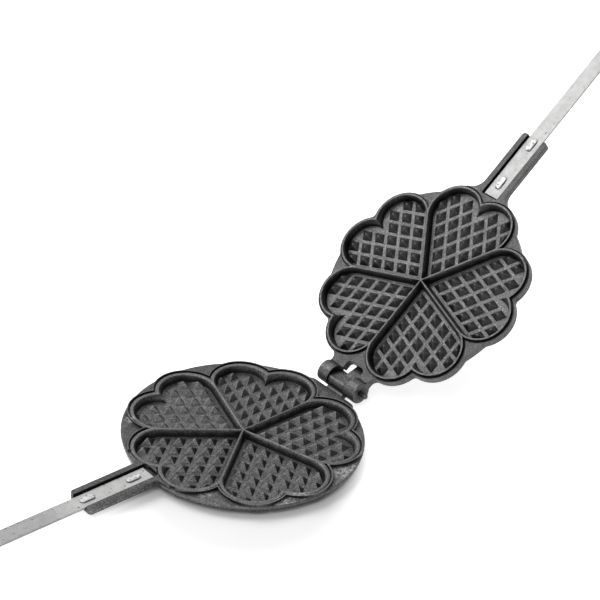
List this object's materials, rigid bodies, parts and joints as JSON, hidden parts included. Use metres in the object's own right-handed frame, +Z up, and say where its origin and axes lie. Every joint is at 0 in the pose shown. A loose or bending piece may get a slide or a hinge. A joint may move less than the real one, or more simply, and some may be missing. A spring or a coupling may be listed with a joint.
{
  "type": "stovetop waffle iron",
  "caption": "Hinged cast-iron waffle iron, open, with heart-shaped waffle pans, a pin hinge and flat steel strap handles riveted into sockets.",
  "frame": {"origin": "centre of the lower half's flat underside", "axes": "+Z up, +X from the handles towards the hinge, +Y along the hinge pin towards its head"},
  "size_m": [0.7933, 0.234, 0.3074],
  "materials": {
    "iron": "sandy as-cast, oiled, charcoal grey",
    "pin_steel": "dark oiled steel",
    "strap_steel": "plain rolled, dull grey",
    "rivet_steel": "plain, pressed"
  },
  "bodies": {
    "lower_half": {"lower_plate": "iron", "lower_strap": "strap_steel", "lower_rivets": "rivet_steel"},
    "upper_half": {"upper_plate": "iron", "upper_strap": "strap_steel", "upper_rivets": "rivet_steel", "hinge_pin": "pin_steel"}
  },
  "joints": [
    {"name": "hinge", "type": "hinge", "parent": "lower_half", "child": "upper_half", "pos_m": [0.1288, 0, 0.0182], "axis": [0, 1, 0], "range_deg": [-140.1, 0]}
  ]
}
